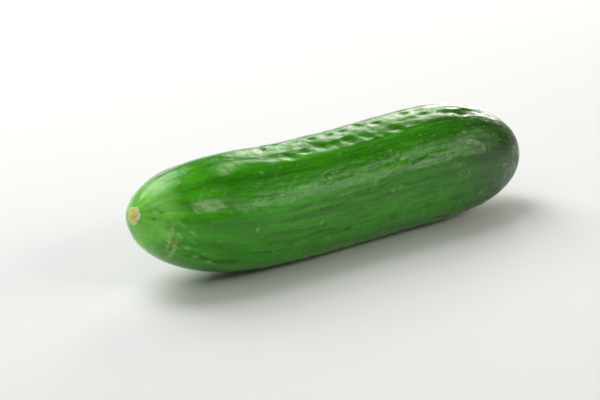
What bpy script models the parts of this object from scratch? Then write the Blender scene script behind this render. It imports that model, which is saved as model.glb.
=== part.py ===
"""A mini cucumber of the smooth, thin-skinned kind, as picked, lying on its belly.

The fruit grew as one piece, so the model is one solid. +X runs from the blossom end to the
stem end, +Z is up, and the origin lies on the table under the middle of the fruit's box.
Lengths are in metres and angles in radians, unless a name says otherwise.
"""

import math
import random

import bmesh
import bpy
from mathutils import Matrix, Vector

# Driving dimensions of the whole fruit
LENGTH = 0.163
RADIUS = 0.020
BLOSSOM_END_REACH = 0.048
BLOSSOM_END_POWERS = (2.15, 2.15)
STEM_END_REACH = 0.046
STEM_END_POWERS = (2.15, 2.25)
STEM_SWELL = 0.019
END_SWELL = 0.047

# How far the middle line leaves a straight one, as rises at the end of the half length
BEND_RISE = 0.0044
TIP_LIFT = 0.0078
BEND_EASE = 0.0023
SIDE_BEND = -0.0004

# How the fruit lies: the stem end raised a little, until the belly rests under the weight
LYING_PITCH_DEG = 1.0
RESTING_FLAT_DEPTH = 0.0003

# Relief of the skin. The seed chambers, the ribs and the rows of dimples
CARPELS = 3
CARPEL_SWELL = 0.00025
CARPEL_TURN_DEG = 20.0
RIBS = 10
RIB_HEIGHT = 0.00020
RIB_HEIGHT_AT_STEM = 0.00034
RIB_UNEVENNESS = 0.35
DIMPLE_PITCH = 0.012
DIMPLE_PITCH_SPREAD = 0.15
DIMPLE_DEPTH = 0.00042
DIMPLE_DEPTH_SPREAD = 0.45
DIMPLE_START = 0.18
DIMPLE_END = 0.92
DIMPLE_SEED = 11
RELIEF_FADE_AT_BLOSSOM = 0.14
RELIEF_FADE_AT_STEM = 0.08
SMOOTH_TIP_RADIUS = 0.010
BELLY_SMOOTH_DEG = 20.0
BELLY_FADE_DEG = 48.0

# The corky scar left by the flower: a rim with blunt corners round a pit
BLOSSOM_RIM_RADIUS = 0.0016
BLOSSOM_RIM_WIDTH = 0.0012
BLOSSOM_RIM_HEIGHT = 0.00050
BLOSSOM_RIM_CORNERS = 5
BLOSSOM_RIM_RAGGED = 0.12
BLOSSOM_PIT_RADIUS = 0.0008
BLOSSOM_PIT_DEPTH = 0.00045

# The scar left by the stem: a ring round a dish, in a wide shallow hollow
STEM_RING_RADIUS = 0.0027
STEM_RING_WIDTH = 0.0010
STEM_RING_HEIGHT = 0.00045
STEM_DISH_RADIUS = 0.0015
STEM_DISH_DEPTH = 0.00060
STEM_HOLLOW_RADIUS = 0.0050
STEM_HOLLOW_DEPTH = 0.00060

# Fineness of the mesh
RINGS = 84
SEGMENTS = 70
TANGENT_STEP = 1e-4

SKIN_COLOUR = (0.045, 0.19, 0.014, 1.0)
SKIN_ROUGHNESS = 0.35
SHARP_EDGE_DEG = 40.0


def smooth_step(low, high, value):
    """0 below low, 1 above high, and an even ramp between them."""
    share = min(1.0, max(0.0, (value - low) / (high - low)))
    return share * share * (3.0 - 2.0 * share)


def bump(distance, width):
    """A round bump, 1 at its middle and about a third one width away."""
    return math.exp(-((distance / width) ** 2))


def station(turn):
    """Distance from the blossom tip, for a turn of 0 at that tip and 1 at the stem tip."""
    return LENGTH * (1.0 - math.cos(math.pi * turn)) / 2.0


def end_rounding(distance, reach, powers):
    """Share of the full radius this far from a tip: an egg-shaped end that reaches full width."""
    rise, fall = powers
    inner = 1.0 - min(1.0, max(0.0, distance / reach))
    return max(0.0, 1.0 - inner**rise) ** (1.0 / fall)


def radius_at(along):
    """Radius of the smooth body at a distance from the blossom tip."""
    half = 2.0 * along / LENGTH - 1.0
    rounding = end_rounding(along, BLOSSOM_END_REACH, BLOSSOM_END_POWERS)
    rounding *= end_rounding(LENGTH - along, STEM_END_REACH, STEM_END_POWERS)
    return RADIUS * rounding * (1.0 + STEM_SWELL * half + END_SWELL * half**2)


def middle_line(along):
    """Point of the bent middle line at a distance from the blossom tip."""
    half = 2.0 * along / LENGTH - 1.0
    rise = BEND_RISE * half**2 - TIP_LIFT * half**3 - BEND_EASE * half**4
    return Vector((along - LENGTH / 2.0, SIDE_BEND * half**2, rise))


def axes_at(along):
    """The middle line's direction, and the upward and frontward directions square to it."""
    ahead = middle_line(along + TANGENT_STEP) - middle_line(along - TANGENT_STEP)
    ahead.normalize()
    front = ahead.cross(Vector((0.0, 0.0, 1.0))).normalized()
    return ahead, front.cross(ahead), front


def outline_normal(turn):
    """The body outline's outward normal, as its parts along the middle line and away from it."""
    before = max(0.0, turn - TANGENT_STEP)
    after = min(1.0, turn + TANGENT_STEP)
    run = station(after) - station(before)
    rise = radius_at(station(after)) - radius_at(station(before))
    size = math.hypot(run, rise)
    return -rise / size, run / size


def belly_share(angle):
    """0 along the belly, which lies on the table and stays smooth, and 1 away from it."""
    from_belly = 180.0 - abs(math.degrees(angle))
    return smooth_step(BELLY_SMOOTH_DEG, BELLY_FADE_DEG, from_belly)


def carpel_relief(angle):
    """The three seed chambers make the fruit faintly three-sided."""
    return CARPEL_SWELL * math.cos(CARPELS * (angle - math.radians(CARPEL_TURN_DEG)))


def rib_relief(share, angle):
    """Long low ribs, stronger towards the stem. share is 0 at the blossom and 1 at the stem."""
    height = RIB_HEIGHT + (RIB_HEIGHT_AT_STEM - RIB_HEIGHT) * share**2
    height *= smooth_step(0.0, RELIEF_FADE_AT_BLOSSOM, share)
    height *= smooth_step(0.0, RELIEF_FADE_AT_STEM, 1.0 - share)
    unevenness = 1.0 + RIB_UNEVENNESS * math.cos(CARPELS * angle + 1.0)
    return height * unevenness * math.cos(RIBS * angle)


def dimple_rows():
    """The drawn lie of each furrow's dimples: their start, their stretch and their strength."""
    rng = random.Random(DIMPLE_SEED)
    rows = []
    for _ in range(RIBS):
        start = rng.random()
        stretch = 1.0 + DIMPLE_PITCH_SPREAD * (rng.random() - 0.5)
        strength = 1.0 - DIMPLE_DEPTH_SPREAD * rng.random()
        rows.append((start, stretch, strength))
    return rows


def dimple_relief(along, angle, rows):
    """Shallow oval dimples in rows, one row in each furrow between two ribs."""
    furrow = angle / math.tau * RIBS - 0.5
    start, stretch, strength = rows[round(furrow) % RIBS]
    across = math.cos(math.pi * (furrow - round(furrow))) ** 2
    wave = math.cos(math.tau * (along / (DIMPLE_PITCH * stretch) + start))
    share = along / LENGTH
    strength *= smooth_step(DIMPLE_START, DIMPLE_START + RELIEF_FADE_AT_BLOSSOM, share)
    strength *= smooth_step(0.0, RELIEF_FADE_AT_BLOSSOM, DIMPLE_END - share)
    return -DIMPLE_DEPTH * strength * across * (0.5 + 0.5 * wave)


def blossom_scar_relief(from_tip, angle):
    """A raised rim with five blunt corners round a shallow pit, where the flower dropped off."""
    ragged = 1.0 + BLOSSOM_RIM_RAGGED * math.cos(BLOSSOM_RIM_CORNERS * angle)
    from_rim = from_tip - BLOSSOM_RIM_RADIUS * ragged
    rim = BLOSSOM_RIM_HEIGHT * bump(from_rim, BLOSSOM_RIM_WIDTH * ragged)
    return rim - BLOSSOM_PIT_DEPTH * bump(from_tip, BLOSSOM_PIT_RADIUS)


def stem_scar_relief(from_tip):
    """A low ring round a dished disc, sunk a little into the shoulder of the stem end."""
    hollow = STEM_HOLLOW_DEPTH * bump(from_tip, STEM_HOLLOW_RADIUS)
    ring = STEM_RING_HEIGHT * bump(from_tip - STEM_RING_RADIUS, STEM_RING_WIDTH)
    return ring - hollow - STEM_DISH_DEPTH * bump(from_tip, STEM_DISH_RADIUS)


def relief(along, angle, rows):
    """How far the skin stands out from the smooth body."""
    from_tip = radius_at(along)
    share = along / LENGTH
    body = carpel_relief(angle) + rib_relief(share, angle) + dimple_relief(along, angle, rows)
    height = body * belly_share(angle) * smooth_step(0.0, SMOOTH_TIP_RADIUS, from_tip)
    if share < 0.5:
        return height + blossom_scar_relief(from_tip, angle)
    return height + stem_scar_relief(from_tip)


def skin_point(turn, angle, rows):
    """Point of the skin. The angle is 0 on top, and grows towards the front (-Y)."""
    along = station(turn)
    ahead, upward, front = axes_at(along)
    outward = upward * math.cos(angle) + front * math.sin(angle)
    ahead_part, outward_part = outline_normal(turn)
    normal = ahead * ahead_part + outward * outward_part
    smooth = middle_line(along) + outward * radius_at(along)
    return smooth + normal * relief(along, angle, rows)


def shape_body(mesh):
    """Turns a unit sphere's mesh, with its poles at the two tips, into the fruit's body."""
    rows = dimple_rows()
    for vertex in mesh.verts:
        x, y, z = vertex.co.normalized()
        turn = math.acos(max(-1.0, min(1.0, -z))) / math.pi
        vertex.co = skin_point(turn, math.atan2(y, x), rows)


def lay_on_table(mesh):
    """Pitches the fruit as it lies, and centres it with its belly just under the table's top."""
    pitch = Matrix.Rotation(-math.radians(LYING_PITCH_DEG), 3, "Y")
    bmesh.ops.rotate(mesh, verts=mesh.verts, cent=(0.0, 0.0, 0.0), matrix=pitch)
    low = Vector([min(vertex.co[axis] for vertex in mesh.verts) for axis in range(3)])
    high = Vector([max(vertex.co[axis] for vertex in mesh.verts) for axis in range(3)])
    middle = (low + high) / 2.0
    shift = Vector((-middle.x, -middle.y, -low.z - RESTING_FLAT_DEPTH))
    bmesh.ops.translate(mesh, verts=mesh.verts, vec=shift)


def cut_resting_flat(mesh):
    """Cuts the belly off level with the table, which leaves the small flat it rests on."""
    everything = mesh.verts[:] + mesh.edges[:] + mesh.faces[:]
    cut = bmesh.ops.bisect_plane(
        mesh,
        geom=everything,
        dist=1e-7,
        plane_co=(0.0, 0.0, 0.0),
        plane_no=(0.0, 0.0, -1.0),
        clear_outer=True,
    )
    rim = [item for item in cut["geom_cut"] if isinstance(item, bmesh.types.BMEdge)]
    bmesh.ops.edgenet_fill(mesh, edges=rim)


def skin_material():
    """The green of the skin, with its low waxy gloss."""
    material = bpy.data.materials.new("cucumber_skin")
    material.use_nodes = True
    shader = material.node_tree.nodes["Principled BSDF"]
    shader.inputs["Base Color"].default_value = SKIN_COLOUR
    shader.inputs["Roughness"].default_value = SKIN_ROUGHNESS
    shader.inputs["Metallic"].default_value = 0.0
    return material


def make_cucumber():
    """The whole fruit, with its skin relief and its two scars, as one closed object."""
    body = bmesh.new()
    bmesh.ops.create_uvsphere(body, u_segments=SEGMENTS, v_segments=RINGS, radius=1.0)
    shape_body(body)
    lay_on_table(body)
    cut_resting_flat(body)
    bmesh.ops.recalc_face_normals(body, faces=body.faces)
    mesh = bpy.data.meshes.new("cucumber")
    body.to_mesh(mesh)
    body.free()
    mesh.shade_smooth()
    mesh.set_sharp_from_angle(angle=math.radians(SHARP_EDGE_DEG))
    mesh.materials.append(skin_material())
    fruit = bpy.data.objects.new("cucumber", mesh)
    bpy.context.scene.collection.objects.link(fruit)
    return fruit


def main():
    """Clears the scene and makes the cucumber."""
    for leftover in list(bpy.data.objects):
        bpy.data.objects.remove(leftover)
    make_cucumber()


main()
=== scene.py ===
"""Finishes the cucumber: its fine skin, its two scars, their finishes, and a small studio.

Lengths are in metres and angles in radians, unless a name says otherwise. The skin is built on
the body that grew straight, by a distance along it and an angle round it, and is then bent and
laid down as the solid is. The angle is 0 on top and grows towards the front, which is -Y.
"""

import logging
import math
import random
from dataclasses import dataclass
from enum import Enum

import bpy
import numpy as np
from mathutils import Matrix, Vector, noise


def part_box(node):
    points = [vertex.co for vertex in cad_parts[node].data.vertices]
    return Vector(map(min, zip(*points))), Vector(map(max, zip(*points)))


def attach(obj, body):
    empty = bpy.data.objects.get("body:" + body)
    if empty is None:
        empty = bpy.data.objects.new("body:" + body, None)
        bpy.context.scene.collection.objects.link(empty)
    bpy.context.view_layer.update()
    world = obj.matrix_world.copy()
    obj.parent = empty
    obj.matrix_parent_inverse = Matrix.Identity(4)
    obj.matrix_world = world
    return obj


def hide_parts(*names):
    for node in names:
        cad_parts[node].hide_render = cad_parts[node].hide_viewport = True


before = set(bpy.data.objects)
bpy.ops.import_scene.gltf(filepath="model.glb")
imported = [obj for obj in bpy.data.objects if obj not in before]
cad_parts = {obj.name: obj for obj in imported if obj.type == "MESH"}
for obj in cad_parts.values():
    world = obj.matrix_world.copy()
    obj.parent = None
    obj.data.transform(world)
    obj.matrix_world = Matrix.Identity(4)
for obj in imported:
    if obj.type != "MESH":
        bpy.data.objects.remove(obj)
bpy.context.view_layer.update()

log = logging.getLogger("cucumber")

SOLID = "cucumber"
BODY = "root"
WARM = (1.0, 0.99, 0.88)

Colour = tuple[float, float, float]
Span = tuple[float, float]
Ramp = tuple[float, float, float, float]
Socket = bpy.types.NodeSocket
Input = Socket | float | tuple[float, ...]


class Tip(Enum):
    """The two ends of the fruit, by how the skin is counted from them."""

    BLOSSOM = "blossom"
    STEM = "stem"


class Mark(Enum):
    """What an accident of growth or picking leaves on the skin, or a highlight painted onto it."""

    CORK = "cork"
    SCRATCH = "scratch"
    # Rubbed wax, and also a painted highlight.
    SCUFF_AND_HIGHLIGHT = "scuff_and_highlight"
    BRUISE = "bruise"


def smooth_step(low: float, high: float, value: np.ndarray) -> np.ndarray:
    """Ramps each value smoothly, from 0 at low to 1 at high."""
    share = np.clip((value - low) / (high - low), 0.0, 1.0)
    return share * share * (3.0 - 2.0 * share)


def bump(distance: np.ndarray, width: float) -> np.ndarray:
    """Gives a round bump, 1 at its middle and about a third at its width, by the distance."""
    return np.exp(-((distance / width) ** 2))


def smooth_noise(places: np.ndarray, octaves: int) -> np.ndarray:
    """Draws smooth noise at each of some places.

    Args:
        places: The places, in units of the noise's features, with their three parts last.
        octaves: How many layers the noise has, each half as large and as strong as the one before.

    Returns:
        The noise, about -1 to 1, one value for each place.
    """
    flat = places.reshape(-1, 3).tolist()
    values = [noise.fractal(Vector(place), 1.0, 2.0, octaves) for place in flat]
    return np.array(values).reshape(places.shape[:-1])


def half_turn(angle: np.ndarray) -> np.ndarray:
    """Brings angles to within half a turn of 0, either way."""
    return np.remainder(angle + math.pi, math.tau) - math.pi


@dataclass(frozen=True)
class FruitForm:
    """The smooth body under the skin's relief, straight as it grew, then bent and laid down."""

    length: float = 0.163
    radius: float = 0.020
    blossom_reach: float = 0.048
    blossom_powers: Span = (2.15, 2.15)
    stem_reach: float = 0.046
    stem_powers: Span = (2.15, 2.25)
    stem_swell: float = 0.019
    end_swell: float = 0.047
    bend_rise: float = 0.0044
    tip_lift: float = 0.0078
    bend_ease: float = 0.0023
    side_bend: float = -0.0004
    lying_pitch_deg: float = 1.0
    flat_depth: float = 0.0003
    step: float = 1e-5
    length_samples: int = 40001
    tip_samples: int = 20001
    tip_share: float = 0.25

    def rounding(self, distance: np.ndarray, tip: Tip) -> np.ndarray:
        """Rounds off one end of the body.

        Args:
            distance: Distances along the body from that tip.
            tip: Which end.

        Returns:
            The share of the full radius at each distance.
        """
        blossom = tip is Tip.BLOSSOM
        reach = self.blossom_reach if blossom else self.stem_reach
        rise, fall = self.blossom_powers if blossom else self.stem_powers
        inner = 1.0 - np.clip(distance / reach, 0.0, 1.0)
        return np.clip(1.0 - inner**rise, 0.0, None) ** (1.0 / fall)

    def radius_at(self, along: np.ndarray) -> np.ndarray:
        """Gives the body's radius.

        Args:
            along: Distances from the blossom tip.

        Returns:
            The radius at each distance.
        """
        half = 2.0 * along / self.length - 1.0
        swell = 1.0 + self.stem_swell * half + self.end_swell * half**2
        ends = self.rounding(along, Tip.BLOSSOM) * self.rounding(self.length - along, Tip.STEM)
        return self.radius * ends * swell

    def middle_line(self, along: np.ndarray) -> np.ndarray:
        """Gives the bent middle line.

        Args:
            along: Distances from the blossom tip.

        Returns:
            One point for each distance, in the last axis.
        """
        half = 2.0 * along / self.length - 1.0
        rise = self.bend_rise * half**2 - self.tip_lift * half**3 - self.bend_ease * half**4
        return np.stack([along - self.length / 2.0, self.side_bend * half**2, rise], axis=-1)

    def stations(self, rings: int, tip_gap: float, body_gap: float, reach: float) -> np.ndarray:
        """Shares rings out over the skin, closer together near the tips.

        Args:
            rings: How many gaps between rings there are from tip to tip.
            tip_gap: The gap at a tip, before the gaps are fitted to the skin's length.
            body_gap: The gap far from the tips, before that fitting.
            reach: How far over the skin from a tip the gaps grow.

        Returns:
            The distance along the body of each ring, both tips included.
        """
        turn = np.linspace(0.0, math.pi, self.length_samples)
        along = self.length * (1.0 - np.cos(turn)) / 2.0
        steps = np.hypot(np.diff(along), np.diff(self.radius_at(along)))
        run = np.concatenate([[0.0], np.cumsum(steps)])
        from_tip = np.minimum(run, run[-1] - run)
        gap = tip_gap + (body_gap - tip_gap) * smooth_step(0.0, reach, from_tip)
        count = np.concatenate([[0.0], np.cumsum(steps / ((gap[1:] + gap[:-1]) / 2.0))])
        return np.interp(np.arange(rings + 1) / rings, count / count[-1], along)

    def along_at(self, radius: np.ndarray, tip: Tip) -> np.ndarray:
        """Finds where an end of the body has a radius.

        Args:
            radius: Radii of rings near the tip.
            tip: Which end.

        Returns:
            The distance from the blossom tip of each ring.
        """
        near = self.length * np.linspace(0.0, self.tip_share, self.tip_samples) ** 2
        along = near if tip is Tip.BLOSSOM else self.length - near
        return np.interp(radius, self.radius_at(along), along)

    def skin_frame(self, along: np.ndarray, angle: np.ndarray) -> tuple[np.ndarray, np.ndarray]:
        """Gives points of the bent smooth body and its outward normals there.

        Args:
            along: Distances from the blossom tip.
            angle: Angles round the body, of a shape that fits along.

        Returns:
            The points and the normals, with their three parts in the last axis.
        """
        inside = np.clip(along, self.step, self.length - self.step)
        ahead = self.middle_line(inside + self.step) - self.middle_line(inside - self.step)
        ahead /= np.linalg.norm(ahead, axis=-1, keepdims=True)
        front = np.cross(ahead, (0.0, 0.0, 1.0))
        front /= np.linalg.norm(front, axis=-1, keepdims=True)
        outward = np.cross(front, ahead) * np.cos(angle)[..., None]
        outward = outward + front * np.sin(angle)[..., None]
        rise = self.radius_at(inside + self.step) - self.radius_at(inside - self.step)
        run = np.full_like(rise, 2.0 * self.step)
        size = np.hypot(run, rise)
        normal = ahead * (-rise / size)[..., None] + outward * (run / size)[..., None]
        points = self.middle_line(along) + outward * self.radius_at(along)[..., None]
        return points, normal

    def lie_down(self, points: np.ndarray) -> np.ndarray:
        """Pitches points of the bent body as the fruit lies.

        Args:
            points: Points with their three parts in the last axis.

        Returns:
            The pitched points, not yet moved to the table.
        """
        pitch = math.radians(self.lying_pitch_deg)
        turn = np.array(Matrix.Rotation(-pitch, 3, "Y"))
        return points @ turn.T

    def shift_to_box(self, points: np.ndarray) -> np.ndarray:
        """Finds the move that sets the skin in the solid's box.

        Args:
            points: All of the skin's pitched points, in rows.

        Returns:
            The move, with the belly's lowest points just under the table's top.
        """
        low, high = (np.array(corner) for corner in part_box(SOLID))
        middle = (low + high) / 2.0 - (points.min(axis=0) + points.max(axis=0)) / 2.0
        return np.array([middle[0], middle[1], low[2] - self.flat_depth - points[:, 2].min()])


@dataclass(frozen=True)
class SkinGrid:
    """The grid that the skin is drawn on, of rings along the body and angles round it.

    A layer of the skin has one value for each ring and then for each angle.
    """

    form: FruitForm
    along: np.ndarray
    angle: np.ndarray
    edge_power: float = 1.3
    stamp_reach: float = 3.0

    def blank(self) -> np.ndarray:
        """Gives a layer of zeros."""
        return np.zeros((len(self.along), len(self.angle)))

    def radius(self) -> np.ndarray:
        """Gives the body's radius at each ring, as a column."""
        return self.form.radius_at(self.along)[:, None]

    def share(self) -> np.ndarray:
        """Gives each ring's share of the length, 0 at the blossom tip, as a column."""
        return (self.along / self.form.length)[:, None]

    def around(self, length: float, fineness: float) -> np.ndarray:
        """Gives each point's place by its angle, the same on thick and thin parts of the body.

        Args:
            length: The length along the body that counts as one.
            fineness: How much the angle counts for.

        Returns:
            The places, with their three parts in the last axis.
        """
        ring = self.angle[None, :] + 0.0 * self.along[:, None]
        lengthwise = self.along[:, None] / length + 0.0 * ring
        return np.stack([lengthwise, fineness * np.cos(ring), fineness * np.sin(ring)], axis=-1)

    def grown(self) -> np.ndarray:
        """Gives each point's place on the body that grew straight.

        Returns:
            The places, with their three parts in the last axis.
        """
        places = self.around(1.0, 1.0)
        places[..., 1:] *= self.radius()[..., None]
        return places

    def stamp(self, layer: np.ndarray, centre: Span, half: Span, height: float, turn: float) -> None:
        """Adds one oval bump or dimple to a layer.

        Args:
            layer: The layer, which is changed.
            centre: The oval's distance along and its angle.
            half: The oval's half length along the body and its half width round it.
            height: Its height, below 0 for a dimple.
            turn: How far the oval is turned on the skin.
        """
        reach = self.stamp_reach * max(half)
        first, last = np.searchsorted(self.along, (centre[0] - reach, centre[0] + reach))
        rings = slice(first, max(last, first + 1))
        radius = float(self.form.radius_at(np.array(centre[0])))
        ahead = (self.along[rings] - centre[0])[:, None]
        aside = half_turn(self.angle - centre[1])[None, :] * radius
        one = (ahead * math.cos(turn) + aside * math.sin(turn)) / half[0]
        other = (aside * math.cos(turn) - ahead * math.sin(turn)) / half[1]
        layer[rings] += height * np.exp(-((one**2 + other**2) ** self.edge_power))


@dataclass(frozen=True)
class Ribs:
    """The three broad swells over the seed chambers, and the long low ribs on them."""

    chambers: int = 3
    chamber_swell: float = 0.00025
    chamber_turn_deg: float = 20.0
    count: int = 10
    height: float = 0.00013
    height_at_stem: float = 0.00018
    unevenness: float = 0.35
    uneven_turn: float = 1.0
    fade_at_blossom: float = 0.14
    fade_at_stem: float = 0.16
    waver: float = 1.4
    waver_size: float = 0.013
    waver_offset: float = 7.0
    wander: float = 0.16
    wander_length: float = 0.022
    wander_fineness: float = 1.5
    wander_offset: float = 3.0

    def swells(self, grid: SkinGrid) -> np.ndarray:
        """Gives the faint three-sided swell at each angle, as a row."""
        turn = math.radians(self.chamber_turn_deg)
        return self.chamber_swell * np.cos(self.chambers * (grid.angle[None, :] - turn))

    def heights(self, share: np.ndarray) -> np.ndarray:
        """Gives how high the ribs are along the fruit.

        Args:
            share: Shares of the length, 0 at the blossom tip.

        Returns:
            The height at each share.
        """
        height = self.height + (self.height_at_stem - self.height) * share**2
        height = height * smooth_step(0.0, self.fade_at_blossom, share)
        return height * smooth_step(0.0, self.fade_at_stem, 1.0 - share)

    def draw(self, grid: SkinGrid) -> np.ndarray:
        """Draws the swells and the ribs, which waver in height and wander round the body.

        Args:
            grid: The skin's grid.

        Returns:
            The layer.
        """
        waver = smooth_noise(grid.grown() / self.waver_size + self.waver_offset, 1)
        places = grid.around(self.wander_length, self.wander_fineness) + self.wander_offset
        angle = grid.angle[None, :] + self.wander * smooth_noise(places, 1)
        uneven = 1.0 + self.unevenness * np.cos(self.chambers * angle + self.uneven_turn)
        ribs = self.heights(grid.share()) * uneven * np.cos(self.count * angle)
        return self.swells(grid) + ribs * (1.0 + self.waver * waver)


@dataclass(frozen=True)
class SlowWaves:
    """The skin's unplanned unevenness: broad swells, long furrows and short ripples."""

    swell_height: float = 0.00010
    swell_size: float = 0.016
    furrow_height: float = 0.00013
    furrow_length: float = 0.030
    furrow_fineness: float = 7.0
    furrow_least: float = 0.4
    furrow_start: Span = (0.06, 0.32)
    ripple_height: float = 0.00010
    ripple_size: Span = (0.0045, 0.0024)
    ripple_start: Span = (0.18, 0.34)
    ripple_least: float = 0.35
    octaves: int = 2

    def draw(self, grid: SkinGrid) -> np.ndarray:
        """Draws the unevenness, calmer at the blossom end.

        Args:
            grid: The skin's grid.

        Returns:
            The layer.
        """
        share, grown = grid.share(), grid.grown()
        swell = self.swell_height * smooth_noise(grown / self.swell_size, self.octaves)
        furrow_places = grid.around(self.furrow_length, self.furrow_fineness)
        furrow = self.furrow_height * smooth_noise(furrow_places, self.octaves)
        furrow = furrow * (self.furrow_least + share) * smooth_step(*self.furrow_start, share)
        long, short = self.ripple_size
        ripple = self.ripple_height * smooth_noise(grown / (long, short, short), self.octaves)
        strength = smooth_step(*self.ripple_start, share)
        ripple = ripple * (self.ripple_least + (1.0 - self.ripple_least) * strength)
        return swell + furrow + ripple


@dataclass(frozen=True)
class Dimples:
    """Rows of oval dimples between the ribs, some rows much fainter than others."""

    rows: int = 20
    row_turn_deg: float = 3.75
    pitch: float = 0.0064
    pitch_range: Span = (0.75, 1.3)
    half: Span = (0.0024, 0.00150)
    size_range: Span = (0.70, 1.25)
    depth: float = 0.00040
    depth_range: Span = (0.30, 1.25)
    stray: float = 0.045
    slant: float = 0.25
    start: float = 0.27
    end: float = 0.86
    quiet_rows: tuple[int, ...] = (2, 3, 4, 5, 7, 9, 11, 13, 16, 18)
    quiet_depth: float = 0.22
    seed: int = 5
    ridge_height: float = 0.000015
    ridge_start: Span = (0.15, 0.35)

    def draw(self, grid: SkinGrid) -> np.ndarray:
        """Presses the dimples.

        Args:
            grid: The skin's grid.

        Returns:
            The layer, 0 or below.
        """
        layer = grid.blank()
        length = grid.form.length
        rng = random.Random(self.seed)
        for row in range(self.rows):
            row_angle = math.tau * row / self.rows + math.radians(self.row_turn_deg)
            place = self.start * length + rng.random() * self.pitch
            while place < self.end * length:
                size = rng.uniform(*self.size_range)
                half = (self.half[0] * size, self.half[1] * size)
                centre = (place, row_angle + rng.gauss(0.0, self.stray))
                depth = self.depth * rng.uniform(*self.depth_range)
                depth *= self.quiet_depth if row in self.quiet_rows else 1.0
                grid.stamp(layer, centre, half, -depth, rng.gauss(0.0, self.slant))
                place += self.pitch * rng.uniform(*self.pitch_range)
        return layer

    def ridges(self, grid: SkinGrid) -> np.ndarray:
        """Gives the faint ridges that stand between the rows, as a layer."""
        rows = np.cos(self.rows * (grid.angle[None, :] - math.radians(self.row_turn_deg)))
        return -self.ridge_height * rows * smooth_step(*self.ridge_start, grid.share())


@dataclass(frozen=True)
class Warts:
    """The tiny bases that the young fruit's spines leave."""

    count: int = 150
    size: float = 0.00055
    size_range: Span = (0.7, 1.3)
    stretch: float = 1.3
    height: float = 0.00009
    height_range: Span = (0.5, 1.3)
    reach: Span = (0.05, 0.97)
    seed: int = 8

    def draw(self, grid: SkinGrid) -> np.ndarray:
        """Raises the warts.

        Args:
            grid: The skin's grid.

        Returns:
            The layer, 0 or above.
        """
        layer = grid.blank()
        rng = random.Random(self.seed)
        for _ in range(self.count):
            centre = (rng.uniform(*self.reach) * grid.form.length, rng.uniform(-math.pi, math.pi))
            size = self.size * rng.uniform(*self.size_range)
            height = self.height * rng.uniform(*self.height_range)
            grid.stamp(layer, centre, (size * self.stretch, size), height, 0.0)
        return layer


@dataclass(frozen=True)
class Fold:
    """One long crease, by its two ends, its angle, and its depth beside a common crease's."""

    start: float
    end: float
    angle_deg: float
    depth: float


@dataclass(frozen=True)
class Creases:
    """Thin creases that wander along the fruit, and a few small pits."""

    count: int = 46
    depth: float = 0.00008
    width: float = 0.00050
    seed: int = 3
    length_range: Span = (0.012, 0.040)
    middle_range: Span = (0.12, 0.90)
    slant: float = 0.03
    wave_range: Span = (0.01, 0.03)
    wave_turns: Span = (1.5, 4.3)
    quick_wave: float = 0.4
    depth_range: Span = (0.4, 1.2)
    end_steepness: float = 1.6
    folds: tuple[Fold, ...] = (
        Fold(0.0500, 0.1360, 82.0, 1.2),
        Fold(0.0960, 0.1270, 63.5, 1.6),
        Fold(0.0450, 0.1020, 76.0, 0.8),
        Fold(0.0620, 0.1300, 88.0, 0.7),
        Fold(0.0300, 0.0700, 101.0, 0.6),
        Fold(0.0800, 0.1350, 70.0, 0.7),
        Fold(0.0500, 0.1100, -96.0, 1.0),
        Fold(0.0700, 0.1300, -118.0, 0.8),
    )
    fold_waves: Span = (0.035, 0.014)
    fold_turns: Span = (1.7, 5.3)
    fold_phase: float = 900.0
    fold_end_steepness: float = 2.5
    pits: tuple[Span, ...] = ((0.0960, 56.0), (0.0415, -75.0), (0.1210, 140.0))
    pit_half: float = 0.0008
    pit_depth: float = 0.00030

    def press(
        self,
        grid: SkinGrid,
        layer: np.ndarray,
        share: np.ndarray,
        path: np.ndarray,
        depth: float,
        steepness: float,
    ) -> None:
        """Presses one crease into a layer.

        Args:
            grid: The skin's grid.
            layer: The layer, which is changed.
            share: How far along the crease each ring lies, 0 to 1 within it.
            path: The crease's angle at each ring.
            depth: Its depth.
            steepness: How fast it deepens from its ends.
        """
        ends = np.clip(np.sin(math.pi * np.clip(share, 0.0, 1.0)) * steepness, 0.0, 1.0)
        aside = half_turn(grid.angle[None, :] - path[:, None])
        layer -= depth * ends[:, None] * bump(aside * grid.radius(), self.width)

    def press_common(self, grid: SkinGrid, layer: np.ndarray) -> None:
        """Presses the creases that are drawn by chance.

        Args:
            grid: The skin's grid.
            layer: The layer, which is changed.
        """
        slow, quick = self.wave_turns
        rng = random.Random(self.seed)
        for _ in range(self.count):
            length = rng.uniform(*self.length_range)
            start = rng.uniform(*self.middle_range) * grid.form.length - length / 2.0
            middle = rng.uniform(-math.pi, math.pi)
            slant = rng.gauss(0.0, self.slant)
            wave = rng.uniform(*self.wave_range)
            depth = self.depth * rng.uniform(*self.depth_range)
            share = (grid.along - start) / length
            path = middle + slant * share + wave * np.sin(math.tau * share * slow + middle)
            path = path + wave * self.quick_wave * np.sin(math.tau * share * quick)
            self.press(grid, layer, share, path, depth, self.end_steepness)

    def press_folds(self, grid: SkinGrid, layer: np.ndarray) -> None:
        """Presses the long creases.

        Args:
            grid: The skin's grid.
            layer: The layer, which is changed.
        """
        slow, quick = self.fold_turns
        broad, small = self.fold_waves
        for fold in self.folds:
            share = (grid.along - fold.start) / (fold.end - fold.start)
            path = broad * np.sin(math.tau * share * slow + fold.angle_deg)
            path = path + small * np.sin(math.tau * share * quick + fold.start * self.fold_phase)
            path = path + math.radians(fold.angle_deg)
            depth = self.depth * fold.depth
            self.press(grid, layer, share, path, depth, self.fold_end_steepness)

    def draw(self, grid: SkinGrid) -> np.ndarray:
        """Presses all the creases and the pits.

        Args:
            grid: The skin's grid.

        Returns:
            The layer, 0 or below.
        """
        layer = grid.blank()
        self.press_common(grid, layer)
        self.press_folds(grid, layer)
        for along, angle_deg in self.pits:
            centre = (along, math.radians(angle_deg))
            grid.stamp(layer, centre, (self.pit_half, self.pit_half), -self.pit_depth, 0.0)
        return layer


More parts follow.
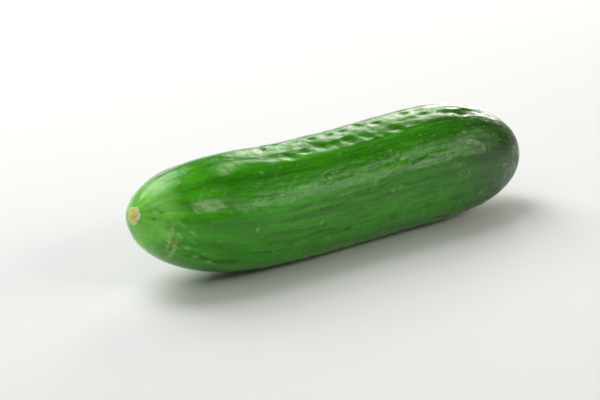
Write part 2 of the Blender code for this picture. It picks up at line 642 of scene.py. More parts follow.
@dataclass(frozen=True)
class RoundDent:
    """A ring raised round a tip, or a dent pressed into it, by its radius, width and height."""

    radius: float
    width: float
    height: float

    def draw(self, from_tip: np.ndarray) -> np.ndarray:
        """Gives the dent's height at distances from the tip."""
        return self.height * bump(from_tip - self.radius, self.width)


@dataclass(frozen=True)
class SkinRelief:
    """How far the skin stands out from the smooth body, in layers from large to small."""

    form: FruitForm = FruitForm()
    ribs: Ribs = Ribs()
    waves: SlowWaves = SlowWaves()
    dimples: Dimples = Dimples()
    warts: Warts = Warts()
    creases: Creases = Creases()
    blossom_dents: tuple[RoundDent, ...] = (
        RoundDent(0.0019, 0.0011, 0.00028),
        RoundDent(0.0, 0.0016, -0.00035),
    )
    stem_dents: tuple[RoundDent, ...] = (
        RoundDent(0.0030, 0.0009, 0.00040),
        RoundDent(0.0, 0.0020, -0.00050),
        RoundDent(0.0, 0.0050, -0.00060),
    )
    calm_at_stem: Span = (0.82, 0.96)
    calm_share: float = 0.65
    smooth_tip_radius: float = 0.010
    belly_smooth_deg: float = 20.0
    belly_fade_deg: float = 48.0
    inset: float = 0.00025

    def belly_share(self, angle: np.ndarray) -> np.ndarray:
        """Gives 0 along the belly, which lies on the table, and 1 away from it."""
        from_belly = 180.0 - np.abs(np.degrees(angle))
        return smooth_step(self.belly_smooth_deg, self.belly_fade_deg, from_belly)

    def scar_layer(self, grid: SkinGrid) -> np.ndarray:
        """Shapes the skin round the two scars.

        Args:
            grid: The skin's grid.

        Returns:
            The height at each ring, the same all round, as a column.
        """
        from_tip = grid.radius()
        blossom = sum(dent.draw(from_tip) for dent in self.blossom_dents)
        stem = sum(dent.draw(from_tip) for dent in self.stem_dents)
        return np.where(grid.share() < 0.5, blossom, stem)

    def draw(self, grid: SkinGrid) -> tuple[np.ndarray, dict[str, np.ndarray]]:
        """Adds the layers up.

        Args:
            grid: The skin's grid.

        Returns:
            The whole relief, and by name how far the skin is in a hollow, in a crease or on a
            wart, 0 to 1; the hollow and crease amounts give the colour its painted shade.
        """
        share = grid.share()
        dimples = self.dimples.draw(grid)
        creases = self.creases.draw(grid)
        warts = self.warts.draw(grid)
        body = self.ribs.draw(grid) + self.waves.draw(grid) + self.dimples.ridges(grid)
        calm = 1.0 - self.calm_share * smooth_step(*self.calm_at_stem, share)
        body = (body + dimples + creases) * calm
        fade = self.belly_share(grid.angle)[None, :]
        fade = fade * smooth_step(0.0, self.smooth_tip_radius, grid.radius())
        painted_shade_and_marks = {
            "hollow": -dimples * fade / self.dimples.depth,
            "crease": -creases * fade / self.creases.depth,
            "wart": warts * fade / self.warts.height,
        }
        return (body + warts) * fade + self.scar_layer(grid) - self.inset, painted_shade_and_marks


@dataclass(frozen=True)
class Pattern:
    """Smooth noise in a material: its features to a unit by axis, and its finer layers."""

    scale: tuple[float, float, float]
    detail: float = 2.0
    rough: float = 0.5


class Sheet:
    """One material's nodes, with short ways to add and wire them.

    The mix node's colour sockets share their names with others, so they go by number.
    """

    MIX_SHARE = 0
    MIX_UNDER = 6
    MIX_OVER = 7
    MIX_RESULT = 2

    def __init__(self, name: str) -> None:
        """Starts a material.

        Args:
            name: The material's name.
        """
        self.material = bpy.data.materials.new(name)
        self.material.use_nodes = True
        self.tree = self.material.node_tree
        self.shader = self.tree.nodes["Principled BSDF"]

    def feed(self, node: bpy.types.Node, inputs: dict[str | int, Input]) -> None:
        """Links sockets to a node's inputs, or sets the inputs' own values.

        Args:
            node: The node.
            inputs: Sockets or values, by the input's name or number.
        """
        for name, value in inputs.items():
            if isinstance(value, Socket):
                self.tree.links.new(value, node.inputs[name])
            else:
                node.inputs[name].default_value = value

    def node(self, kind: str, inputs: dict[str | int, Input], **settings: str) -> bpy.types.Node:
        """Adds a node.

        Args:
            kind: Blender's name of the node's type.
            inputs: Sockets or values, by the input's name or number.
            **settings: Properties of the node itself.

        Returns:
            The node.
        """
        made = self.tree.nodes.new(kind)
        for name, value in settings.items():
            setattr(made, name, value)
        self.feed(made, inputs)
        return made

    def attribute(self, name: str, output: str = "Fac") -> Socket:
        """Reads one of the mesh's own attributes."""
        return self.node("ShaderNodeAttribute", {}, attribute_name=name).outputs[output]

    def math(self, operation: str, *values: Input) -> Socket:
        """Does the arithmetic that Blender gives this name on one to three values."""
        made = self.node("ShaderNodeMath", dict(enumerate(values)), operation=operation)
        return made.outputs["Value"]

    def noise(self, place: Socket, pattern: Pattern) -> Socket:
        """Draws smooth noise.

        Args:
            place: The place.
            pattern: How fine the noise is.

        Returns:
            The noise, 0 to 1 with most of it near a half.
        """
        scaled = self.node("ShaderNodeVectorMath", {0: place, 1: pattern.scale}, operation="MULTIPLY")
        inputs = {
            "Vector": scaled.outputs["Vector"],
            "Scale": 1.0,
            "Detail": pattern.detail,
            "Roughness": pattern.rough,
        }
        return self.node("ShaderNodeTexNoise", inputs).outputs["Fac"]

    def ramp(self, value: Socket, ramp: Ramp) -> Socket:
        """Ramps a value smoothly.

        Args:
            value: The value.
            ramp: Where the ramp starts and ends, and the results there and beyond.

        Returns:
            The ramp's result.
        """
        names = ("From Min", "From Max", "To Min", "To Max")
        inputs = {"Value": value, **dict(zip(names, ramp))}
        return self.node("ShaderNodeMapRange", inputs, interpolation_type="SMOOTHSTEP").outputs["Result"]

    def tint(self, under: Socket, over: Colour, share: Socket, strength: float) -> Socket:
        """Lays one colour over another.

        Args:
            under: The colour underneath.
            over: The linear colour that is laid over it.
            share: Where it lies, 0 to 1.
            strength: How much it covers where it lies.

        Returns:
            The mixed colour.
        """
        inputs = {
            self.MIX_SHARE: self.math("MULTIPLY", share, strength),
            self.MIX_UNDER: under,
            self.MIX_OVER: (*over, 1.0),
        }
        return self.node("ShaderNodeMix", inputs, data_type="RGBA").outputs[self.MIX_RESULT]

    def colours(self, value: Socket, stops: tuple[tuple[float, Colour], ...]) -> Socket:
        """Turns a value into a colour.

        Args:
            value: The value, 0 to 1.
            stops: Places on the ramp and their linear colours.

        Returns:
            The colour.
        """
        made = self.node("ShaderNodeValToRGB", {"Fac": value})
        band = made.color_ramp
        band.interpolation = "EASE"
        while len(band.elements) < len(stops):
            band.elements.new(1.0)
        for element, (place, colour) in zip(band.elements, stops):
            element.position = place
            element.color = (*colour, 1.0)
        return made.outputs["Color"]

    def relief(self, height: Socket, strength: float, distance: float) -> Socket:
        """Gives the normals of a fine relief whose height of one is this distance."""
        inputs = {"Height": height, "Strength": strength, "Distance": distance}
        return self.node("ShaderNodeBump", inputs).outputs["Normal"]


class SkinSheet(Sheet):
    """The skin material's nodes, with the places that its patterns are drawn on."""

    def __init__(self, name: str) -> None:
        """Starts the material.

        Args:
            name: The material's name.
        """
        super().__init__(name)
        self.grown = self.attribute("grown", "Vector")
        self.around = self.attribute("around", "Vector")
        self.share = self.node("ShaderNodeSeparateXYZ", {0: self.around}).outputs["X"]

    def on_body(self, pattern: Pattern) -> Socket:
        """Draws noise by the place on the body that grew straight, in metres."""
        return self.noise(self.grown, pattern)

    def round_body(self, pattern: Pattern) -> Socket:
        """Draws noise by the share of the length and the way round."""
        return self.noise(self.around, pattern)


@dataclass(frozen=True)
class SkinFinish:
    """Thin waxy green skin: pale and streaked at the blossom end, dark at the stem end."""

    growth: tuple[tuple[float, Colour], ...] = (
        (0.0, (0.175, 0.550, 0.065)),
        (0.02, (0.175, 0.550, 0.065)),
        (0.065, (0.048, 0.300, 0.005)),
        (0.16, (0.031, 0.235, 0.002)),
        (0.62, (0.029, 0.200, 0.002)),
        (0.93, (0.013, 0.064, 0.003)),
    )
    wobble: Pattern = Pattern((5.0, 2.5, 2.5), 3.0)
    wobble_size: float = 0.14
    streak: Colour = (0.240, 0.560, 0.110)
    streaks: Pattern = Pattern((2.2, 11.0, 11.0), 3.0)
    streak_edge: Ramp = (0.50, 0.70, 0.0, 1.0)
    streak_fades: tuple[Ramp, ...] = ((0.02, 0.22, 1.0, 0.0), (0.0, 0.05, 0.3, 1.0))
    streak_share: float = 0.25
    bands: Pattern = Pattern((3.0, 5.0, 5.0))
    band_tone: Ramp = (0.25, 0.75, -0.16, 0.16)
    patches: Pattern = Pattern((103.5, 230.0, 230.0), 5.0, 0.65)
    patch_tone: Ramp = (0.3, 0.7, -0.16, 0.16)
    # Long pale lines: partly the skin's own tone and partly painted sheen, so they lighten more than
    # they darken.
    lines: Pattern = Pattern((7.0, 24.0, 24.0), 3.0, 0.6)
    line_tone_and_sheen: Ramp = (0.3, 0.7, -0.18, 0.32)
    line_start: Ramp = (0.04, 0.34, 0.15, 1.0)
    # hollow and crease are painted shade in the dimples and creases; bruise is the bruises' own dark
    # colour.
    painted_shade_and_marks: tuple[tuple[str, float], ...] = (("hollow", -0.22), ("crease", -0.35), ("bruise", -0.55))
    fleck: Colour = (0.200, 0.400, 0.110)
    flecks: Pattern = Pattern((539.0, 980.0, 980.0), 3.0, 0.65)
    fleck_crowds: Pattern = Pattern((70.0, 70.0, 70.0))
    fleck_push: Ramp = (0.35, 0.70, -0.05, 0.05)
    fleck_edge: Ramp = (0.60, 0.71, 0.0, 1.0)
    fleck_share: float = 0.40
    wart_share: float = 0.35
    # Pale rubbed wax, which the first scuff mark in the skin's list also uses as a painted highlight.
    worn_and_highlight: Colour = (0.420, 0.600, 0.260)
    worn_and_highlight_clouds: Pattern = Pattern((620.0, 620.0, 620.0), 3.0, 0.6)
    worn_and_highlight_edge: Ramp = (0.36, 0.60, 0.35, 1.0)
    worn_and_highlight_share: float = 0.60
    scratch: Colour = (0.360, 0.560, 0.220)
    hairs: Pattern = Pattern((264.0, 330.0, 330.0), 1.0)
    hair_edge: Ramp = (0.006, 0.022, 1.0, 0.0)
    hair_patches: Pattern = Pattern((240.0, 240.0, 240.0))
    hair_patch_edge: Ramp = (0.57, 0.64, 0.0, 1.0)
    hair_share: float = 0.25
    grain: Pattern = Pattern((1500.0, 1500.0, 1500.0), 2.0, 0.6)
    scratch_edge: Ramp = (0.36, 0.54, 0.0, 1.0)
    scratch_share: float = 0.8
    cork: Colour = (0.270, 0.225, 0.070)
    cork_edge: Ramp = (0.32, 0.55, 0.0, 1.0)
    cork_share: float = 0.85
    wax: Pattern = Pattern((420.0, 420.0, 420.0), 3.0, 0.6)
    wax_roughness: Ramp = (0.3, 0.7, 0.11, 0.23)
    bloom: Pattern = Pattern((210.0, 300.0, 300.0), 3.0, 0.6)
    bloom_roughness: Ramp = (0.48, 0.60, 0.0, 0.15)
    bloom_start: Ramp = (0.12, 0.32, 0.0, 1.0)
    stem_roughness: Ramp = (0.80, 0.94, 0.0, 0.12)
    scuff_and_highlight_roughness: float = 0.42
    pores: Pattern = Pattern((288.0, 480.0, 480.0), 4.0, 0.6)
    grooves: Pattern = Pattern((9.0, 30.0, 30.0), 3.0, 0.6)
    groove_share: Ramp = (0.10, 0.35, 0.15, 0.60)
    relief: float = 0.00018
    refraction: float = 1.40
    flesh_share: float = 0.12
    flesh_reach: Colour = (0.6, 1.0, 0.25)
    flesh_depth: float = 0.0015

    def growth_colour(self, sheet: SkinSheet) -> Socket:
        """Colours the skin from the pale blossom end to the dark stem end.

        Args:
            sheet: The material's nodes.

        Returns:
            The colour.
        """
        start = sheet.math("SUBTRACT", sheet.share, self.wobble_size / 2.0)
        moved = sheet.math("MULTIPLY_ADD", sheet.round_body(self.wobble), self.wobble_size, start)
        streak = sheet.ramp(sheet.round_body(self.streaks), self.streak_edge)
        for fade in self.streak_fades:
            streak = sheet.math("MULTIPLY", streak, sheet.ramp(sheet.share, fade))
        return sheet.tint(sheet.colours(moved, self.growth), self.streak, streak, self.streak_share)

    def mottle(self, sheet: SkinSheet, colour: Socket) -> Socket:
        """Makes the green uneven, in long soft bands, in lines that are partly painted sheen, in patches
        and in small flecks, and darkens it with painted shade in the dimples and creases.

        Args:
            sheet: The material's nodes.
            colour: The colour so far.

        Returns:
            The colour.
        """
        bands = sheet.ramp(sheet.round_body(self.bands), self.band_tone)
        patches = sheet.ramp(sheet.on_body(self.patches), self.patch_tone)
        # The lines are partly tone and partly painted sheen.
        lines = sheet.ramp(sheet.round_body(self.lines), self.line_tone_and_sheen)
        tone = sheet.math("ADD", bands, patches)
        tone = sheet.math("MULTIPLY_ADD", lines, sheet.ramp(sheet.share, self.line_start), tone)
        # Painted shade in the dimples and creases, and the bruises' own dark colour.
        for name, change in self.painted_shade_and_marks:
            tone = sheet.math("MULTIPLY_ADD", sheet.attribute(name), change, tone)
        inputs = {0: colour, "Scale": sheet.math("ADD", tone, 1.0)}
        toned = sheet.node("ShaderNodeVectorMath", inputs, operation="SCALE").outputs["Vector"]
        push = sheet.ramp(sheet.on_body(self.fleck_crowds), self.fleck_push)
        flecks = sheet.math("ADD", sheet.on_body(self.flecks), push)
        return sheet.tint(toned, self.fleck, sheet.ramp(flecks, self.fleck_edge), self.fleck_share)

    def marks(self, sheet: SkinSheet, colour: Socket) -> Socket:
        """Lays rubbed wax patches and a painted highlight, the warts' pale tops, scratches and corky
        specks over the green.

        Args:
            sheet: The material's nodes.
            colour: The colour so far.

        Returns:
            The colour.
        """
        # Rubbed wax, and at the first scuff mark a painted highlight: a pale patch where the window
        # lamp's reflection falls.
        clouds = sheet.ramp(sheet.on_body(self.worn_and_highlight_clouds), self.worn_and_highlight_edge)
        worn_and_highlight = sheet.math("MULTIPLY", sheet.attribute("scuff_and_highlight"), clouds)
        colour = sheet.tint(colour, self.worn_and_highlight, worn_and_highlight, self.worn_and_highlight_share)
        colour = sheet.tint(colour, self.fleck, sheet.attribute("wart"), self.wart_share)
        hair = sheet.math("ABSOLUTE", sheet.math("SUBTRACT", sheet.on_body(self.hairs), 0.5))
        patches = sheet.ramp(sheet.on_body(self.hair_patches), self.hair_patch_edge)
        hair = sheet.math("MULTIPLY", sheet.ramp(hair, self.hair_edge), patches)
        colour = sheet.tint(colour, self.scratch, hair, self.hair_share)
        grain = sheet.on_body(self.grain)
        scratch = sheet.ramp(grain, self.scratch_edge)
        scratch = sheet.math("MULTIPLY", sheet.attribute("scratch"), scratch)
        colour = sheet.tint(colour, self.scratch, scratch, self.scratch_share)
        cork = sheet.math("MULTIPLY", sheet.attribute("cork"), sheet.ramp(grain, self.cork_edge))
        return sheet.tint(colour, self.cork, cork, self.cork_share)

    def roughness(self, sheet: SkinSheet) -> Socket:
        """Makes the wax uneven, and dull on rubbed patches, on the painted highlight and at the stem
        end.

        Args:
            sheet: The material's nodes.

        Returns:
            The roughness.
        """
        rough = sheet.ramp(sheet.on_body(self.wax), self.wax_roughness)
        bloom = sheet.ramp(sheet.on_body(self.bloom), self.bloom_roughness)
        bloom_share = sheet.ramp(sheet.share, self.bloom_start)
        rough = sheet.math("MULTIPLY_ADD", bloom, bloom_share, rough)
        rough = sheet.math("ADD", rough, sheet.ramp(sheet.share, self.stem_roughness))
        spread = sheet.math("SUBTRACT", self.scuff_and_highlight_roughness, rough)
        return sheet.math("MULTIPLY_ADD", sheet.attribute("scuff_and_highlight"), spread, rough)

    def material(self) -> bpy.types.Material:
        """Builds the material.

        Returns:
            The material.
        """
        sheet = SkinSheet("cucumber_skin")
        colour = self.marks(sheet, self.mottle(sheet, self.growth_colour(sheet)))
        grooves, pores = sheet.round_body(self.grooves), sheet.on_body(self.pores)
        depth = sheet.ramp(sheet.share, self.groove_share)
        height = sheet.math("MULTIPLY_ADD", grooves, depth, pores)
        inputs = {
            "Base Color": colour,
            "Roughness": self.roughness(sheet),
            "Normal": sheet.relief(height, 1.0, self.relief),
            "IOR": self.refraction,
            "Subsurface Weight": self.flesh_share,
            "Subsurface Radius": self.flesh_reach,
            "Subsurface Scale": self.flesh_depth,
        }
        sheet.feed(sheet.shader, inputs)
        return sheet.material


@dataclass(frozen=True)
class CorkFinish:
    """Dry corky tissue, in three tones that change from grain to grain."""

    name: str
    light: Colour
    main: Colour
    dark: Colour
    fringe: Colour
    roughness: float = 0.78
    crumbs: Pattern = Pattern((1900.0, 1900.0, 1900.0), 4.0, 0.65)
    tone_places: tuple[float, float, float] = (0.30, 0.46, 0.60)
    pit_share: float = 0.6
    fringe_crumbs: float = 0.5
    fringe_edge: Ramp = (0.95, 1.15, 0.0, 1.0)
    relief: float = 0.00012
    relief_strength: float = 0.8

    def material(self) -> bpy.types.Material:
        """Builds the material.

        Returns:
            The material.
        """
        sheet = Sheet(self.name)
        place = sheet.node("ShaderNodeTexCoord", {}).outputs["Object"]
        crumbs = sheet.noise(place, self.crumbs)
        tones = (self.dark, self.main, self.light)
        colour = sheet.colours(crumbs, tuple(zip(self.tone_places, tones)))
        colour = sheet.tint(colour, self.dark, sheet.attribute("depth"), self.pit_share)
        edge = sheet.math("MULTIPLY_ADD", crumbs, self.fringe_crumbs, sheet.attribute("edge"))
        colour = sheet.tint(colour, self.fringe, sheet.ramp(edge, self.fringe_edge), 1.0)
        normal = sheet.relief(crumbs, self.relief_strength, self.relief)
        inputs = {"Base Color": colour, "Roughness": self.roughness, "Normal": normal}
        sheet.feed(sheet.shader, inputs)
        return sheet.material


class BallMesh:
    """A piece that starts as a unit ball, whose poles become the ends of its shape."""

    def __init__(self, name: str, segments: int, rings: int) -> None:
        """Adds the ball, and finds the ring of each vertex, from -Z, and its segment.

        Args:
            name: The piece's name.
            segments: Faces round it.
            rings: Faces from pole to pole.
        """
        bpy.ops.object.select_all(action="DESELECT")
        bpy.ops.mesh.primitive_uv_sphere_add(segments=segments, ring_count=rings, radius=1.0)
        self.piece = bpy.context.object
        self.piece.name = name
        self.piece.data.name = name
        flat = np.empty(len(self.piece.data.vertices) * 3)
        self.piece.data.vertices.foreach_get("co", flat)
        x, y, z = flat.reshape(-1, 3).T
        self.ring = np.rint(np.arccos(np.clip(-z, -1.0, 1.0)) / math.pi * rings).astype(int)
        self.segment = np.rint(np.arctan2(y, x) / math.tau * segments).astype(int) % segments

    def move(self, points: np.ndarray) -> None:
        """Moves the vertices to these points, in rows."""
        flat = np.ascontiguousarray(points, dtype=np.float32).ravel()
        self.piece.data.vertices.foreach_set("co", flat)

    def keep(self, name: str, values: np.ndarray) -> None:
        """Keeps a value, or a place, at each vertex for the material to read.

        Args:
            name: The attribute's name.
            values: The values, or the places in rows.
        """
        kind, field = ("FLOAT_VECTOR", "vector") if values.ndim == 2 else ("FLOAT", "value")
        made = self.piece.data.attributes.new(name, kind, "POINT")
        made.data.foreach_set(field, np.ascontiguousarray(values, dtype=np.float32).ravel())

    def finish(self, material: bpy.types.Material) -> bpy.types.Object:
        """Turns the faces outwards, shades them smooth and gives them their material.

        Args:
            material: The material.

        Returns:
            The piece.
        """
        self.piece.data.update()
        bpy.ops.object.mode_set(mode="EDIT")
        bpy.ops.mesh.select_all(action="SELECT")
        bpy.ops.mesh.normals_make_consistent(inside=False)
        bpy.ops.object.mode_set(mode="OBJECT")
        bpy.ops.object.shade_smooth()
        self.piece.data.materials.append(material)
        return self.piece


@dataclass(frozen=True)
class SkinMark:
    """One accident on the skin, or a painted highlight: where it is, its half length and half width, and
    its turn.
    """

    kind: Mark
    along: float
    angle_deg: float
    half: Span
    strength: float = 1.0
    turn_deg: float = 0.0


@dataclass(frozen=True)
class FruitSkin:
    """The whole skin as one closed mesh, with its relief and the marks on it."""

    relief: SkinRelief = SkinRelief()
    finish: SkinFinish = SkinFinish()
    segments: int = 252
    rings: int = 388
    tip_gap: float = 0.00016
    body_gap: float = 0.00052
    gap_reach: float = 0.012
    marks: tuple[SkinMark, ...] = (
        SkinMark(Mark.CORK, 0.0173, 10.0, (0.0010, 0.0007)),
        SkinMark(Mark.CORK, 0.0061, 95.0, (0.0006, 0.0006), 1.0, 60.0),
        SkinMark(Mark.CORK, 0.0088, 118.0, (0.0006, 0.0008), 1.6),
        SkinMark(Mark.BRUISE, 0.0060, 92.0, (0.0013, 0.0008), 1.0, 70.0),
        SkinMark(Mark.BRUISE, 0.0078, 110.0, (0.0020, 0.0006), 1.0, 80.0),
        SkinMark(Mark.BRUISE, 0.0098, 120.0, (0.0010, 0.0007), 0.9, 20.0),
        SkinMark(Mark.BRUISE, 0.0040, 69.5, (0.0006, 0.0006)),
        SkinMark(Mark.BRUISE, 0.0024, 85.0, (0.0003, 0.0005), 0.8),
        SkinMark(Mark.SCRATCH, 0.0025, 68.0, (0.0004, 0.0005), 1.2),
        SkinMark(Mark.SCRATCH, 0.0070, 101.0, (0.0024, 0.0004), 1.3, 70.0),
        SkinMark(Mark.SCRATCH, 0.0093, 106.0, (0.0012, 0.0004), 1.3, 50.0),
        SkinMark(Mark.SCRATCH, 0.0096, 126.0, (0.0013, 0.0005), 1.3, 20.0),
        SkinMark(Mark.SCRATCH, 0.0130, 99.0, (0.0014, 0.0004), 0.8, 30.0),
        SkinMark(Mark.SCRATCH, 0.0075, 124.0, (0.0030, 0.0005), 1.2, 75.0),
        SkinMark(Mark.SCRATCH, 0.0100, 135.0, (0.0050, 0.0005), 1.0, 80.0),
        SkinMark(Mark.SCRATCH, 0.0095, 90.0, (0.0016, 0.0004), 0.6, 35.0),
        SkinMark(Mark.SCRATCH, 0.0128, 121.0, (0.0008, 0.0007), 0.8, 15.0),
        SkinMark(Mark.SCRATCH, 0.0165, 131.0, (0.0010, 0.0008), 0.8, 5.0),
        SkinMark(Mark.SCRATCH, 0.0215, 135.0, (0.0012, 0.0005), 0.9, -10.0),
        SkinMark(Mark.SCRATCH, 0.0185, 124.0, (0.0007, 0.0006), 0.7),
        SkinMark(Mark.SCRATCH, 0.0400, 38.5, (0.0007, 0.0004), 1.0, 10.0),
        SkinMark(Mark.SCRATCH, 0.0605, 97.0, (0.0009, 0.0004), 1.0, -50.0),
        SkinMark(Mark.SCRATCH, 0.0345, 93.5, (0.0004, 0.0006), 1.2),
        SkinMark(Mark.SCRATCH, 0.0247, 75.5, (0.0007, 0.0004), 0.7, 30.0),
        SkinMark(Mark.SCRATCH, 0.0950, 46.5, (0.0005, 0.0004)),
        # The first scuff mark is a painted highlight, a pale oval where the window lamp's reflection
        # falls; the others are rubbed wax.
        SkinMark(Mark.SCUFF_AND_HIGHLIGHT, 0.0172, 64.5, (0.0038, 0.0015), 1.25, 4.0),
        SkinMark(Mark.SCUFF_AND_HIGHLIGHT, 0.0245, 61.0, (0.0045, 0.0012), 0.15),
        SkinMark(Mark.SCUFF_AND_HIGHLIGHT, 0.0296, 22.5, (0.0060, 0.0020), 0.7),
        SkinMark(Mark.SCUFF_AND_HIGHLIGHT, 0.0270, 30.0, (0.0030, 0.0016), 0.6),
    )

    def mark_layers(self, grid: SkinGrid) -> dict[str, np.ndarray]:
        """Draws the marks, one layer for each kind.

        Args:
            grid: The skin's grid.

        Returns:
            The layers by name.
        """
        layers = {kind.value: grid.blank() for kind in Mark}
        for mark in self.marks:
            centre = (mark.along, math.radians(mark.angle_deg))
            turn = math.radians(mark.turn_deg)
            grid.stamp(layers[mark.kind.value], centre, mark.half, mark.strength, turn)
        return layers

    def build(self) -> tuple[bpy.types.Object, np.ndarray]:
        """Builds the skin.

        Returns:
            The piece, and the move that sets the pitched body in the solid's box.
        """
        form = self.relief.form
        along = form.stations(self.rings, self.tip_gap, self.body_gap, self.gap_reach)
        angle = half_turn(math.tau * np.arange(self.segments) / self.segments)
        grid = SkinGrid(form, along, angle)
        height, layers = self.relief.draw(grid)
        points, normals = form.skin_frame(along[:, None] + 0.0 * angle, angle + 0.0 * along[:, None])
        points = form.lie_down(points + normals * height[..., None])
        shift = form.shift_to_box(points.reshape(-1, 3))
        points = points + shift
        points[..., 2] = np.maximum(points[..., 2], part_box(SOLID)[0][2])
        ball = BallMesh("cucumber_skin", self.segments, self.rings)
        place = (ball.ring, ball.segment)
        ball.move(points[place])
        ball.keep("grown", grid.grown()[place])
        ball.keep("around", grid.around(form.length, 1.0)[place])
        for name, layer in (layers | self.mark_layers(grid)).items():
            ball.keep(name, np.clip(layer[place], 0.0, 1.0))
        return ball.finish(self.finish.material()), shift


@dataclass(frozen=True)
class Scar:
    """A corky button let into one tip of the skin, with an uneven edge and face."""

    name: str
    tip: Tip
    finish: CorkFinish
    radius: float
    rise: float
    sink: float
    edge_waves: tuple[tuple[int, float], ...]
    crumb_height: float
    crumb_size: float
    pit_width: float
    pit_depth: float
    pit_place: Span
    form: FruitForm = FruitForm()
    crumb_octaves: int = 3
    face_start: Span = (0.0, 0.5)
    segments: int = 96
    rings: int = 64

    def build(self, shift: np.ndarray) -> bpy.types.Object:
        """Builds the button.

        Args:
            shift: The move that sets the pitched body in the solid's box.

        Returns:
            The piece.
        """
        ball = BallMesh(self.name, self.segments, self.rings)
        turn = math.pi * ball.ring / self.rings
        angle = math.tau * ball.segment / self.segments
        ragged = 1.0 + sum(size * np.cos(waves * angle + waves) for waves, size in self.edge_waves)
        from_tip = self.radius * ragged * np.sin(turn)
        across, aside = from_tip * np.cos(angle), from_tip * np.sin(angle)
        top = -np.cos(turn)
        face = smooth_step(*self.face_start, top)
        from_pit = np.hypot(across - self.pit_place[0], aside - self.pit_place[1])
        pit = bump(from_pit, self.pit_width) * face
        places = np.stack([across, aside, 0.0 * angle], axis=1)
        crumbs = smooth_noise(places / self.crumb_size, self.crumb_octaves) * face
        level = np.where(top > 0.0, self.rise, -self.sink) * np.sqrt(np.abs(top))
        level = level + self.crumb_height * crumbs - self.pit_depth * pit
        points, normals = self.form.skin_frame(self.form.along_at(from_tip, self.tip), angle)
        ball.move(self.form.lie_down(points + normals * level[:, None]) + shift)
        ball.keep("depth", np.clip(pit, 0.0, 1.0))
        ball.keep("edge", np.sin(turn))
        return ball.finish(self.finish.material())


@dataclass(frozen=True)
class SoftLight:
    """A square of light round the fruit, set by where it stands and how bright it looks."""

    name: str
    azimuth_deg: float
    elevation_deg: float
    distance: float
    size: Span
    radiance: float
    roll_deg: float = 0.0
    colour: Colour = (1.0, 1.0, 1.0)

    def build(self, target: Vector) -> None:
        """Adds the light.

        Args:
            target: The point that it faces.
        """
        azimuth, elevation = math.radians(self.azimuth_deg), math.radians(self.elevation_deg)
        level = Vector((math.sin(azimuth), -math.cos(azimuth), 0.0)) * math.cos(elevation)
        away = level + Vector((0.0, 0.0, math.sin(elevation)))
        bpy.ops.object.select_all(action="DESELECT")
        bpy.ops.object.light_add(type="AREA", location=target + away * self.distance)
        lamp = bpy.context.object
        lamp.name = self.name
        facing = (-away).to_track_quat("-Z", "Y").to_matrix()
        roll = Matrix.Rotation(math.radians(self.roll_deg), 3, "Z")
        lamp.rotation_euler = (facing @ roll).to_euler()
        lamp.data.shape = "RECTANGLE"
        lamp.data.size, lamp.data.size_y = self.size
        lamp.data.energy = self.radiance * math.pi * self.size[0] * self.size[1]
        lamp.data.color = self.colour
        lamp.visible_camera = False


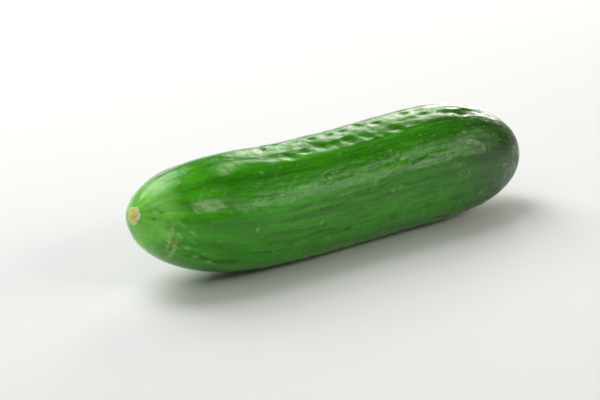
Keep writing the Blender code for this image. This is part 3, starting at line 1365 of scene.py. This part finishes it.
@dataclass(frozen=True)
class Studio:
    """A pale floor, soft light and the camera at the photograph's viewing angle."""

    floor_size: float = 12.0
    floor_colour: Colour = (0.74, 0.74, 0.74)
    floor_roughness: float = 0.9
    floor_shine: float = 0.1
    air_colour: Colour = (1.0, 1.0, 0.97)
    air_strength: float = 0.09
    view_turn_deg: float = 39.4
    view_rise_deg: float = 17.52
    view_roll_deg: float = 0.67
    view_distance: float = 0.800
    view_aside: float = -0.01073
    view_above: float = 0.01519
    lens_mm: float = 142.8
    sensor_mm: float = 36.0
    lights: tuple[SoftLight, ...] = (
        SoftLight("back_softbox", 131.5, 27.0, 0.9, (0.21, 0.47), 4.4, 30.0, WARM),
        SoftLight("back_window", 124.0, 10.0, 0.9, (0.30, 0.20), 8.5, 0.0, WARM),
        SoftLight("back_left_softbox", 184.0, 42.0, 0.9, (0.74, 0.50), 3.8),
        SoftLight("back_low", 168.0, 5.0, 0.95, (1.80, 0.18), 0.8),
        SoftLight("overhead", -150.0, 70.0, 0.9, (0.50, 0.50), 4.6),
        SoftLight("side_card", 45.0, 22.5, 0.9, (0.66, 0.24), 4.0, 0.0, WARM),
        SoftLight("side_low_card", 48.0, 5.0, 0.9, (0.76, 0.22), 0.8, 0.0, WARM),
        SoftLight("front_fill", -70.0, 50.0, 1.0, (0.90, 0.70), 1.1),
        SoftLight("window", 7.0, 34.0, 0.9, (0.16, 0.18), 12.0, 0.0, WARM),
    )

    def add_floor(self) -> None:
        """Adds the floor, which isn't part of the object."""
        bpy.ops.object.select_all(action="DESELECT")
        bpy.ops.mesh.primitive_plane_add(size=self.floor_size)
        floor = bpy.context.object
        floor.name = "floor"
        sheet = Sheet("floor_paper")
        inputs = {
            "Base Color": (*self.floor_colour, 1.0),
            "Roughness": self.floor_roughness,
            "Specular IOR Level": self.floor_shine,
        }
        sheet.feed(sheet.shader, inputs)
        floor.data.materials.append(sheet.material)

    def add_air(self) -> None:
        """Lights the scene evenly from all round."""
        world = bpy.data.worlds.new("studio_air")
        world.use_nodes = True
        back = world.node_tree.nodes["Background"]
        back.inputs["Color"].default_value = (*self.air_colour, 1.0)
        back.inputs["Strength"].default_value = self.air_strength
        bpy.context.scene.world = world

    def add_camera(self) -> None:
        """Sets the camera where the photograph was taken from."""
        turn, rise = math.radians(self.view_turn_deg), math.radians(self.view_rise_deg)
        level = Vector((-math.sin(turn), -math.cos(turn), 0.0)) * math.cos(rise)
        back = level + Vector((0.0, 0.0, math.sin(rise)))
        right = Vector((math.cos(turn), -math.sin(turn), 0.0))
        up = back.cross(right)
        eye = back * self.view_distance + right * self.view_aside + up * self.view_above
        roll = math.radians(self.view_roll_deg)
        across = right * math.cos(roll) - up * math.sin(roll)
        upright = right * math.sin(roll) + up * math.cos(roll)
        facing = Matrix((across, upright, back)).transposed().to_4x4()
        data = bpy.data.cameras.new("camera")
        data.lens = self.lens_mm
        data.sensor_width = self.sensor_mm
        camera = bpy.data.objects.new("camera", data)
        bpy.context.scene.collection.objects.link(camera)
        camera.matrix_world = Matrix.Translation(eye) @ facing
        bpy.context.scene.camera = camera

    def build(self) -> None:
        """Builds the studio."""
        low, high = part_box(SOLID)
        middle = (Vector(low) + Vector(high)) / 2.0
        self.add_floor()
        self.add_air()
        for light in self.lights:
            light.build(middle)
        self.add_camera()
        bpy.context.scene.view_settings.view_transform = "Standard"


@dataclass(frozen=True)
class Cucumber:
    """The whole fruit: its skin, and the two scars let into it."""

    skin: FruitSkin = FruitSkin()
    blossom_scar: Scar = Scar(
        name="blossom_scar",
        tip=Tip.BLOSSOM,
        finish=CorkFinish(
            name="blossom_cork",
            light=(0.84, 0.80, 0.30),
            main=(0.76, 0.64, 0.10),
            dark=(0.38, 0.24, 0.04),
            fringe=(0.66, 0.76, 0.42),
        ),
        radius=0.0028,
        rise=0.00024,
        sink=0.0006,
        edge_waves=((5, 0.07), (3, 0.05), (11, 0.04)),
        crumb_height=0.00022,
        crumb_size=0.0007,
        pit_width=0.0008,
        pit_depth=0.0003,
        pit_place=(-0.0004, 0.0007),
    )
    stem_scar: Scar = Scar(
        name="stem_scar",
        tip=Tip.STEM,
        finish=CorkFinish(
            name="stem_cork",
            light=(0.66, 0.66, 0.44),
            main=(0.55, 0.54, 0.32),
            dark=(0.30, 0.26, 0.12),
            fringe=(0.42, 0.52, 0.24),
            roughness=0.7,
        ),
        radius=0.0026,
        rise=-0.00035,
        sink=0.0016,
        edge_waves=((5, 0.03), (8, 0.02)),
        crumb_height=0.00008,
        crumb_size=0.0006,
        pit_width=0.0009,
        pit_depth=0.00015,
        pit_place=(0.0, 0.0),
    )

    def build(self) -> None:
        """Builds the pieces, sets each on the solid's body and reports it."""
        skin, shift = self.skin.build()
        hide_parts(SOLID)
        pieces = [skin, self.blossom_scar.build(shift), self.stem_scar.build(shift)]
        for piece in pieces:
            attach(piece, BODY)
            log.info("%s: %d vertices", piece.name, len(piece.data.vertices))


def main() -> None:
    """Builds the fruit and the studio round it."""
    logging.basicConfig(level=logging.INFO, format="%(name)s: %(message)s")
    Cucumber().build()
    Studio().build()
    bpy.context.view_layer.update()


if __name__ == "__main__":
    main()
